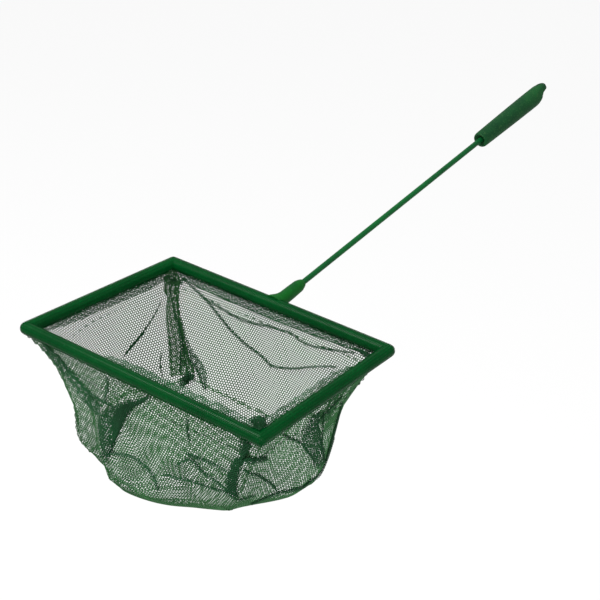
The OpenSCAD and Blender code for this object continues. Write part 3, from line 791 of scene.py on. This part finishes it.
def makeRun(g, run):  # one strip: its length, its widest, its area and its way on to the bag
    line, lineNormal = bagLine(run["path"], strip["steps"])
    far = np.concatenate([[0], np.cumsum(np.linalg.norm(np.diff(line, axis=0), axis=1))])
    sides = np.cross(lineNormal, np.gradient(line, far, axis=0))
    sides /= np.linalg.norm(sides, axis=1)[:, None]
    most = strip["reach"]
    reach = np.linspace(-most, most, 4 * most + 1)
    spread = snapped((line[:, None] + sides[:, None] * reach[:, None]).reshape(-1, 3))[0]
    spread = spread.reshape(len(line), -1, 3)
    wide = np.cumsum(np.linalg.norm(np.diff(spread, axis=1), axis=2), axis=1)
    wide = np.column_stack([np.zeros(len(line)), wide])
    wide -= wide[:, 2 * most][:, None]
    grid = np.array([[np.interp(reach, w, row[:, k]) for k in range(3)] for w, row in zip(wide, spread)])

    def edgesAt(s):
        edges = np.stack([np.interp(s, far[::strip["steps"]], [row[k] for row in run["across"]])
                          for k in range(len(run["across"][0]))], axis=1)
        return edges, np.cumsum(np.abs(np.diff(edges, axis=1)), axis=1)

    def onBag(s, lat):  # lat is measured along the bag's surface
        j = np.clip(np.interp(s, far, np.arange(len(line))), 0, len(line) - 1.001)
        i = np.clip((lat + most) * 2, 0, len(reach) - 1.001)
        j0, i0 = j.astype(int), i.astype(int)
        fj, fi = (j - j0)[:, None], (i - i0)[:, None]
        return ((grid[j0, :, i0] * (1 - fi) + grid[j0, :, i0 + 1] * fi) * (1 - fj)
                + (grid[j0 + 1, :, i0] * (1 - fi) + grid[j0 + 1, :, i0 + 1] * fi) * fj)

    def onto(xy, z):
        edges, widths = edgesAt(xy[:, 1])
        rows = np.arange(len(xy))
        k = np.clip((xy[:, :1] > widths).sum(axis=1), 0, widths.shape[1] - 1)
        begun = np.where(k > 0, widths[rows, np.maximum(k - 1, 0)], 0)
        here, after = xy[:, 0] - begun, widths[rows, k] - xy[:, 0]
        lat = edges[rows, k] + np.sign(edges[rows, k + 1] - edges[rows, k]) * here
        turnOut, turnIn = (np.clip(1 - near / strip["turnIn"], 0, 1) ** 2 for near in (after, here))
        layer = k + strip["turnRise"] * (turnOut - turnIn)
        place, normal = snapped(onBag(xy[:, 1], lat))
        return place - normal * (g["inside"] + strip["layerGap"] * layer - z)[:, None]

    def keep(centres):
        return within(centres, 0, edgesAt(centres[:, 1])[1][:, -1], far[-1])
    total = edgesAt(np.linspace(0, far[-1], strip["samples"]))[1][:, -1]
    return {"long": float(far[-1]), "wide": float(total.max()), "area": float(total.mean() * far[-1]),
            "onto": onto, "keep": keep}


def makeGather(g):
    runs = [makeRun(g, run) for run in g.get("runs", [g])]
    starts = np.cumsum([0] + [run["wide"] + strip["apart"] for run in runs])
    size = (starts[-1] - strip["apart"], max(run["long"] for run in runs))

    def parts(xy):
        at = np.clip(np.searchsorted(starts - strip["apart"] / 2, xy[:, 0]) - 1, 0, len(runs) - 1)
        return [(run, at == k, xy[at == k] - [starts[k], 0]) for k, run in enumerate(runs)]

    def keep(centres):
        inside = np.zeros(len(centres), bool)
        for run, mine, local in parts(centres):
            inside[mine] = run["keep"](local)
        return inside

    def onto(xy, z):
        out = np.zeros((len(xy), 3))
        for run, mine, local in parts(xy):
            if mine.any():
                out[mine] = run["onto"](local, z[mine])
        return out
    cell, yarn = g.get("cell", strip["cell"]), g.get("yarn", strip["yarn"])
    net = flatNet((0, 0), size, keep, across=cell, strand=yarn)
    # gathered netting takes the darker thread unless told otherwise: painted shade of its folded layers
    obj = bendNet(net, onto, g["name"], g["node"], g.get("thread", shadedFoldThread))


# strips of netting laid along the bag's fold lines; their darker thread is painted shade of the creases
folds = {  # each line: its half width in mm and its points (round the rim, down the bag)
    "left": {"rests": "left_tube", "inside": 0.5, "thread": shadedCreaseThread, "lines": [
        (0.6, (3.11, 0.14), (3.21, 0.27), (3.31, 0.40), (3.40, 0.54)),
        (1.1, (3.25, 0.34), (3.33, 0.43), (3.40, 0.54)),
        (0.4, (3.15, 0.63), (3.17, 0.78), (3.17, 0.93)),
    ]},
    "rear": {"rests": "rear_left_tube", "inside": 0.5, "thread": shadedCreaseThread, "lines": [
        (0.55, (2.95, 0.03), (2.85, 0.09), (2.79, 0.15), (2.72, 0.23), (2.63, 0.30), (2.55, 0.34),
         (2.50, 0.39)),
        (0.35, (2.52, 0.38), (2.46, 0.36), (2.41, 0.34), (2.27, 0.27), (2.11, 0.22)),
        (0.4, (2.85, 0.09), (2.71, 0.12), (2.62, 0.12), (2.51, 0.09), (2.42, 0.08)),
        (0.35, (2.42, 0.08), (2.34, 0.11), (2.21, 0.09), (2.10, 0.05)),
    ]},
    "front": {"rests": "front_tube", "inside": -1.3, "thread": shadedFoldThread, "lines": [
        (0.5, (0.10, 0.03), (0.10, 0.10), (0.16, 0.135), (0.23, 0.16), (0.35, 0.18), (0.40, 0.20)),
        (0.35, (0.37, 0.02), (0.37, 0.06), (0.35, 0.17)),
        (0.35, (0.27, 0.81), (0.38, 0.69), (0.47, 0.66), (0.52, 0.68), (0.56, 0.70), (0.61, 0.76),
         (0.65, 0.90)),
        (0.6, (0.74, 0.29), (0.79, 0.30), (0.85, 0.31), (0.93, 0.33)),
        (0.5, (0.70, 0.50), (0.75, 0.36), (0.79, 0.36), (0.84, 0.47), (0.93, 0.58), (0.96, 0.62)),
        (0.35, (0.66, 0.65), (0.76, 0.64), (0.88, 0.70), (0.97, 0.66), (1.12, 0.78)),
        (0.35, (0.72, 0.04), (0.73, 0.11), (0.75, 0.18)),
    ]},
    "right": {"rests": "right_tube", "inside": -1.3, "thread": shadedCreaseThread, "lines": [
        (0.6, (0.98, 0.23), (1.05, 0.29), (1.12, 0.44), (1.20, 0.64), (1.28, 0.93)),
        (1.2, (1.14, 1.02), (1.29, 0.90), (1.43, 0.93), (1.57, 0.89), (1.61, 0.73), (1.65, 0.49)),
        (0.5, (1.16, 0.02), (1.26, 0.12), (1.33, 0.20), (1.39, 0.33), (1.46, 0.55), (1.49, 0.73)),
        (0.5, (1.62, 0.04), (1.55, 0.06), (1.47, 0.09), (1.38, 0.14)),
        (0.4, (1.48, 0.07), (1.49, 0.18), (1.50, 0.31), (1.51, 0.47)),
        (2.2, (1.64, 0.10), (1.61, 0.30), (1.59, 0.51), (1.57, 0.71)),
    ]},
}
foldStrip = {"cell": 0.9, "yarn": 0.42, "slot": "netting", "taper": 0.4, "edges": (-1, 1, -0.8, 0.8)}


def foldRun(wide, *path):
    ends = [foldStrip["taper"]] + [1] * (len(path) - 2) + [foldStrip["taper"]]
    return {"path": path, "across": [[wide * e * f for f in foldStrip["edges"]] for e in ends]}


gathers += [{**foldStrip, **fold, "name": side + "Folds", "node": side + "_net",
             "runs": [foldRun(*line) for line in fold["lines"]]} for side, fold in folds.items()]
for g in gathers:
    makeGather(g)


# Knots that tie off the pleats

knot = {
    "yarn": 0.79, "coil": 2.0, "turns": 4, "pitch": 0.7, "narrower": 0.25, "core": 0.85,
    "lean": 0.5, "creep": 0.3, "sunk": 3.0,
}


def makeKnot(c, name, at):
    place, normal = snapped(loftPoint(np.array([at[0]]), np.array([at[1]])))
    lean = knot["lean"]
    rng = random.Random(20 + c)
    parts = []
    for k in range(knot["turns"]):
        turn = (rng.uniform(-lean, lean), rng.uniform(-lean, lean) + knot["creep"] * k, rng.uniform(0, 3))
        off = k - (knot["turns"] - 1) / 2
        parts.append(added(
            bpy.ops.mesh.primitive_torus_add, location=(0, 0, off * knot["pitch"]), rotation=turn,
            major_segments=20, minor_segments=8, minor_radius=knot["yarn"] / 2,
            major_radius=knot["coil"] - knot["narrower"] * abs(off)))
    parts.append(added(bpy.ops.mesh.primitive_uv_sphere_add, segments=16, ring_count=10,
                       radius=knot["coil"] * knot["core"], location=(0, 0, 0)))
    obj = joined(parts)
    bpy.ops.object.transform_apply(location=True, rotation=True, scale=True)
    up = normal[0] / np.linalg.norm(normal[0])
    side = np.cross(up, (0, 0, 1.0))
    side /= np.linalg.norm(side)
    axes = np.array([side, up, np.cross(side, up)])
    setPoints(obj, toRow(place[0] - normal[0] * knot["sunk"] + getPoints(obj) @ axes))
    smooth(obj)
    return finishPiece(obj, name, sewingThread)


knotPlaces = {"frontLeftKnot": (0.40, 0.25), "frontRightKnot": (0.965, 0.14),
              "rearRightKnot": (1.97, 0.95), "rearLeftKnot": (3.02, 1.03)}
knotPieces = [makeKnot(c, name, at) for c, (name, at) in enumerate(knotPlaces.items())]


# Hem netting that stands up inside the front and right bars, and its tuft at their corner

flaps = [
    {"name": "frontHemFlap", "bar": 0, "rests": "front_tube", "from": 0.34, "to": 0.975, "wide": 6.5},
    {"name": "rightHemFlap", "bar": 1, "rests": "right_tube", "from": 0.03, "to": 0.72, "wide": 6.0},
]
flap = {
    "angle": 50, "out": 0.8, "rise": 0.34, "droop": 0.035, "lift": (-0.3, 0.9),
    "wave": 0.5, "wavePitch": 0.5, "ragged": 0.1, "ragPitch": 0.21, "least": 10, "samples": 80,
}


def makeFlap(f):
    i = f["bar"]
    start, end = barLong[i] * f["from"], barLong[i] * f["to"]
    turn = math.radians(flap["angle"])
    liftIn, liftUp = flap["lift"]

    def widthAt(s):
        u = np.clip((s - start) / (end - start), 0, 1)
        ragged = 1 - flap["ragged"] + flap["ragged"] * np.sin(s * flap["ragPitch"])
        return f["wide"] * np.clip(8 * u * (1 - u), 0, 1) ** 0.5 * ragged

    def keep(centres):
        return within(centres, start, end, widthAt(centres[:, 0]))

    def onto(xy, z):
        s, v = xy[:, 0], xy[:, 1]
        inward = hem["wrapRadius"] * math.sin(turn) + flap["out"] * v + liftIn * z
        height = hem["wrapRadius"] * math.cos(turn) + flap["rise"] * v - flap["droop"] * v**2 + liftUp * z
        height += flap["wave"] * np.sin(s * flap["wavePitch"]) * (v / f["wide"])
        level = bagCorners[i] + barDir[i] * s[:, None] + barIn[i] * inward[:, None]
        return np.column_stack([level, height])
    net = flatNet((start, 0), (end, f["wide"]), keep)
    obj = bendNet(net, onto, f["name"], sideNames[i] + "_hem", shadedFoldThread)


tuft = {
    "wide": 7, "tall": 12, "layers": 4, "spot": (-7.0, 7.0), "low": -3.0, "layerGap": 1.1, "forward": 0.5,
    "foot": 0.55, "flare": 0.75, "sway": 0.7, "swayPitch": 0.9, "ripple": 0.6, "ripplePitch": 0.8,
    "round": 0.12,
}


def makeTuft():
    wide, tall, layers = tuft["wide"], tuft["tall"], tuft["layers"]
    run = (barDir[0] + barDir[1]) / math.sqrt(2)
    into = (barIn[0] + barIn[1]) / math.sqrt(2)

    def keep(centres):
        return within(centres, 0, wide * layers, tall)

    def onto(xy, z):
        x, y = xy[:, 0], xy[:, 1]
        k = np.clip((x / wide).astype(int), 0, layers - 1)
        across = np.where(k % 2 == 0, 1, -1) * (x / wide - k - 0.5) * wide
        across = (across * (tuft["foot"] + tuft["flare"] * y / tall)
                  + tuft["sway"] * np.sin(y * tuft["swayPitch"] + k))
        deep = (k * tuft["layerGap"] - layers * tuft["forward"]
                + tuft["ripple"] * np.sin(x * tuft["ripplePitch"] + k))
        level = bagCorners[1] + tuft["spot"] + run * across[:, None] + into * (deep + z)[:, None]
        return np.column_stack([level, tuft["low"] + y * (1 - tuft["round"] * np.abs(across) / wide)])
    net = flatNet((0, 0), (wide * layers, tall), keep, across=strip["cell"], strand=strip["yarn"])
    obj = bendNet(net, onto, "frontRightTuft", "corner_knots", shadedFoldThread)


for f in flaps:
    makeFlap(f)
makeTuft()
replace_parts(knotPieces[0], "corner_knots")
print("pleats and knots made")


# Collar and grip

handle = {"tilt": 10.7, "tiltFrom": (0, 62.5, 0), "gripStart": 231, "gripTurn": 26}
acrossHandle = (math.pi / 2, 0, 0)
alongBar = (0, math.pi / 2, 0)
tiltRad = math.radians(handle["tilt"])
rodRun = np.array((0, math.cos(tiltRad), math.sin(tiltRad)))
rodUp = np.array((0, -math.sin(tiltRad), math.cos(tiltRad)))
rodSide = np.array((1.0, 0, 0))
rodStart = np.array(handle["tiltFrom"], float)


def onRod(points, turn=0.0, start=0.0):  # x across, y up, z along the rod
    a = math.radians(turn)
    side = rodSide * math.cos(a) + rodUp * math.sin(a)
    up = rodUp * math.cos(a) - rodSide * math.sin(a)
    points = np.asarray(points, float)
    return toRow(rodStart + rodRun * start + points @ np.array([side, up, rodRun]))


def extrudeRings(rings, sides):  # rings: (along, radius across, radius up, shift across)
    along, rx, ry, shift = rings[0]
    obj = added(bpy.ops.mesh.primitive_circle_add, vertices=sides, radius=1, fill_type="NGON",
                location=(shift, 0, along))
    obj.scale = (rx, ry, 1)
    bpy.ops.object.transform_apply(location=True, scale=True)
    bpy.ops.object.mode_set(mode="EDIT")
    bpy.ops.mesh.select_all(action="SELECT")
    bpy.ops.mesh.flip_normals()
    here = rings[0]
    for ring in rings[1:]:
        bpy.ops.mesh.extrude_region_move(
            TRANSFORM_OT_translate={"value": (ring[3] - here[3], 0, ring[0] - here[0])})
        bpy.ops.transform.resize(value=(ring[1] / here[1], ring[2] / here[2], 1),
                                 center_override=(ring[3], 0, ring[0]))
        here = ring
    bpy.ops.mesh.select_all(action="SELECT")
    bpy.ops.mesh.normals_make_consistent(inside=False)
    bpy.ops.object.mode_set(mode="OBJECT")
    return obj


def addBlock(size, at):
    obj = added(bpy.ops.mesh.primitive_cube_add, size=1, location=at)
    obj.scale = size
    bpy.ops.object.transform_apply(location=True, scale=True)
    return obj


def addPin(radius, long, at, sides, turn=(0, 0, 0)):
    return added(bpy.ops.mesh.primitive_cylinder_add, vertices=sides, radius=radius, depth=long,
                 location=at, rotation=turn)


def cutWith(obj, cutter, operation="DIFFERENCE"):
    mod = obj.modifiers.new("cut", "BOOLEAN")
    mod.operation = operation
    mod.solver = "EXACT"
    mod.object = cutter
    applyAll(obj)
    bpy.data.objects.remove(cutter)


def softened(obj, voxel, factor, repeat):
    mod = obj.modifiers.new("skin", "REMESH")
    mod.mode = "VOXEL"
    mod.voxel_size = voxel
    mod = obj.modifiers.new("soft", "SMOOTH")
    mod.factor = factor
    mod.iterations = repeat
    applyAll(obj)


collar = {
    "rings": ((0.5, 7.4, 6.0, -1.9), (2.4, 6.6, 5.6, -1.6), (4.2, 5.7, 5.1, -1.0), (6.2, 4.9, 4.7, -0.4),
              (9.0, 4.5, 4.5, 0), (15, 4.4, 4.4, 0), (23.4, 4.1, 4.1, 0), (25.6, 3.5, 3.5, 0),
              (27.4, 2.8, 2.8, 0), (28.0, 2.4, 2.4, 0)),
    "sides": 48, "barHole": 3.85, "holeSides": 64, "skin": (0.3, 0.5, 6),
}


def makeCollar():
    obj = extrudeRings(collar["rings"], collar["sides"])
    cutWith(obj, addPin(collar["barHole"], 40, (0, 0, 0), collar["holeSides"], alongBar))
    softened(obj, *collar["skin"])
    setPoints(obj, onRod(getPoints(obj)))
    smooth(obj)
    finishPiece(obj, "collarNeck", collarPlastic)
    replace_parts(obj, "collar")


grip = {
    "rings": ((2.4, 2.3, 2.3, 0), (0.9, 3.9, 3.9, 0), (0.1, 4.7, 4.7, 0), (0.3, 5.2, 5.2, 0),
              (1.0, 5.6, 5.6, 0), (2.2, 5.8, 5.8, 0), (20, 6.1, 6.1, 0), (45, 6.45, 6.45, 0),
              (64, 6.6, 6.6, 0), (87, 6.6, 6.6, 0)),
    "sides": 64, "skin": (0.4, 0.5, 14),
    "wide": 20, "body": 68, "shoulder": 6.7, "tongue": 4.7, "tip": 82.3,  # half widths, places along it
    "neckAt": 74.5, "neckLong": 16.6, "neckSplit": 74, "top": 4.5, "thick": 4.8, "spare": 30, "edge": 1,
    "underAt": 86, "underDeep": 20, "underFrom": 78.5, "underTo": 96, "underSlope": 12 / 7.7,
    "overAt": 84, "overDeep": 10, "overFrom": 80, "overDip": 2.2,
    "hangHole": 2.0, "hangAt": 82, "bore": 2.15, "boreLong": 24, "boreAt": 4, "holeSides": 48,
    "roundFrom": 76, "roundOver": 6.3, "roundness": 0.95, "roundMost": 0.97,
}


def makeGrip():
    obj = extrudeRings(grip["rings"], grip["sides"])
    spare, top, low = grip["spare"], grip["top"], grip["top"] - grip["thick"]
    # the plan seen from above: a body, a neck and a tongue with a round tip
    plan = addBlock((grip["wide"], spare, grip["body"]), (0, 0, grip["body"] / 2))
    cutWith(plan, addPin(grip["tongue"], spare, (0, 0, grip["tip"]), grip["sides"], acrossHandle), "UNION")
    neck = addBlock((1, spare, grip["neckLong"]), (0, 0, grip["neckAt"]))
    p = getPoints(neck)
    p[:, 0] = np.sign(p[:, 0]) * np.where(p[:, 2] < grip["neckSplit"], grip["shoulder"], grip["tongue"])
    setPoints(neck, p)
    cutWith(plan, neck, "UNION")
    cutWith(obj, plan, "INTERSECT")
    # a slope and a flat below, and a flat above
    deep = grip["underDeep"]
    under = addBlock((spare, deep, deep), (0, low - deep / 2, grip["underAt"]))
    p = getPoints(under)
    start = np.where(p[:, 1] > low - grip["edge"], 0, grip["underSlope"] * deep)
    p[:, 2] = np.where(p[:, 2] > grip["underAt"], grip["underTo"], grip["underFrom"] - start)
    setPoints(under, p)
    cutWith(obj, under)
    over = addBlock((spare, grip["overDeep"], spare), (0, top + grip["overDeep"] / 2, grip["overAt"]))
    p = getPoints(over)
    dipped = (p[:, 2] < grip["overFrom"]) & (p[:, 1] < top + grip["edge"])
    p[:, 1] += np.where(dipped, grip["overDip"], 0)
    setPoints(over, p)
    cutWith(obj, over)
    cutWith(obj, addPin(grip["hangHole"], spare, (0, 0, grip["hangAt"]), grip["holeSides"], acrossHandle))
    cutWith(obj, addPin(grip["bore"], grip["boreLong"], (0, 0, grip["boreAt"]), grip["holeSides"]))
    softened(obj, *grip["skin"])
    p = getPoints(obj)  # the tongue's edge is rounded over
    onTongue = np.clip((p[:, 2] - grip["roundFrom"]) / grip["roundOver"], 0, 1)
    edge = np.hypot(p[:, 0], np.maximum(p[:, 2] - grip["tip"], 0)) / grip["tongue"] * onTongue
    thin = np.sqrt(1 - np.clip(grip["roundness"] * edge, 0, grip["roundMost"]) ** 4)
    middle = (top + low) / 2
    p[:, 1] = middle + (p[:, 1] - middle) * thin
    setPoints(obj, onRod(p, turn=handle["gripTurn"], start=handle["gripStart"]))
    smooth(obj)
    finishPiece(obj, "gripSleeve", gripVinyl)
    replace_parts(obj, "grip")
    print("grip", len(obj.data.polygons), "faces")


makeCollar()
makeGrip()

# Finishes on the carried-over pieces

for nodeName, mat in {
    "front_tube": tubePlastic, "right_tube": tubePlastic, "left_tube": tubePlastic,
    "rear_right_tube": tubePlastic, "rear_left_tube": tubePlastic,
    "rod_coating": rodPlastic, "hoop_wire": steel, "rod_core": steel, "rod_weld": steel,
}.items():
    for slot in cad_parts[nodeName].material_slots:
        slot.material = mat
print("finishes set")

# Stage, light and camera

studio = {
    "floorSize": 8, "floorAt": (0, -0.3, -0.62), "floorTone": 0.86, "floorRough": 0.9, "glow": 0.8,
    "world": 0.75,
}
lamps = (
    {"name": "keyLight", "power": 26, "size": 0.9, "from": (-0.5, -0.5, 1.3)},
    {"name": "fillLight", "power": 9, "size": 1.2, "from": (1.2, -0.9, 0.5)},
)
hoopMiddle = Vector(toRow([0, 0, -40]))


def makeStage():
    floor = added(bpy.ops.mesh.primitive_plane_add, size=studio["floorSize"], location=studio["floorAt"])
    floor.name = "studioFloor"
    mat = bpy.data.materials.new("paleFloor")
    mat.use_nodes = True
    tree = mat.node_tree
    bsdf = tree.nodes["Principled BSDF"]
    bsdf.inputs["Base Color"].default_value = (*[studio["floorTone"]] * 3, 1)
    bsdf.inputs["Roughness"].default_value = studio["floorRough"]
    glow = addNode(tree, "Emission", {"Color": (1, 1, 1, 1), "Strength": 1})
    rays = addNode(tree, "LightPath")
    seen = addNode(tree, "Math", operation="MAXIMUM")
    share = addNode(tree, "Math", {1: studio["glow"]}, operation="MULTIPLY")  # the rest shows the shadow
    mix = addNode(tree, "MixShader")
    wire(tree,
         (rays.outputs["Is Camera Ray"], seen.inputs[0]),
         (rays.outputs["Is Glossy Ray"], seen.inputs[1]),
         (seen.outputs[0], share.inputs[0]),
         (share.outputs[0], mix.inputs["Fac"]),
         (bsdf.outputs[0], mix.inputs[1]),
         (glow.outputs[0], mix.inputs[2]),
         (mix.outputs[0], tree.nodes["Material Output"].inputs["Surface"]))
    floor.data.materials.append(mat)


def makeWorld():
    world = bpy.data.worlds.new("studioWorld")
    scene.world = world
    world.use_nodes = True
    tree = world.node_tree
    back = tree.nodes["Background"]
    back.inputs["Color"].default_value = (1, 1, 1, 1)
    rays = addNode(tree, "LightPath")
    level = addNode(tree, "Mix", {"A": studio["world"], "B": 1.0})
    wire(tree,
         (rays.outputs["Is Camera Ray"], level.inputs["Factor"]),
         (level.outputs["Result"], back.inputs["Strength"]))


def addLight(lamp):
    data = bpy.data.lights.new(lamp["name"], "AREA")
    data.energy = lamp["power"]
    data.size = lamp["size"]
    obj = bpy.data.objects.new(lamp["name"], data)
    scene.collection.objects.link(obj)
    obj.location = hoopMiddle + Vector(lamp["from"])
    obj.rotation_mode = "QUATERNION"
    obj.rotation_quaternion = (-Vector(lamp["from"])).to_track_quat("-Z", "Y")


makeStage()
makeWorld()
for lamp in lamps:
    addLight(lamp)
print("stage set")

view = {
    "lens": 96, "sensor": 36, "clip": (0.05, 30), "azimuth": 39.8, "elevation": 28.1, "roll": 0.5,
    "away": 986.5, "right": 56.07, "up": 25.22,
}


def makeCamera():
    a, e, r = (math.radians(view[k]) for k in ("azimuth", "elevation", "roll"))
    back = Vector((math.sin(a) * math.cos(e), -math.cos(a) * math.cos(e), math.sin(e)))
    right = (-back).cross(Vector((0, 0, 1))).normalized()
    up = back.cross(right)
    right, up = right * math.cos(r) + up * math.sin(r), up * math.cos(r) - right * math.sin(r)
    place = right * view["right"] + up * view["up"] + back * view["away"]
    data = bpy.data.cameras.new("photoCamera")
    data.lens = view["lens"]
    data.sensor_width = view["sensor"]
    data.clip_start, data.clip_end = view["clip"]
    cam = bpy.data.objects.new("photoCamera", data)
    scene.collection.objects.link(cam)
    cam.rotation_mode = "QUATERNION"
    cam.rotation_quaternion = Matrix((right, up, back)).transposed().to_quaternion()
    cam.location = Vector(toRow(place))
    scene.camera = cam


makeCamera()
scene.view_settings.view_transform = "Standard"
bpy.ops.object.select_all(action="DESELECT")
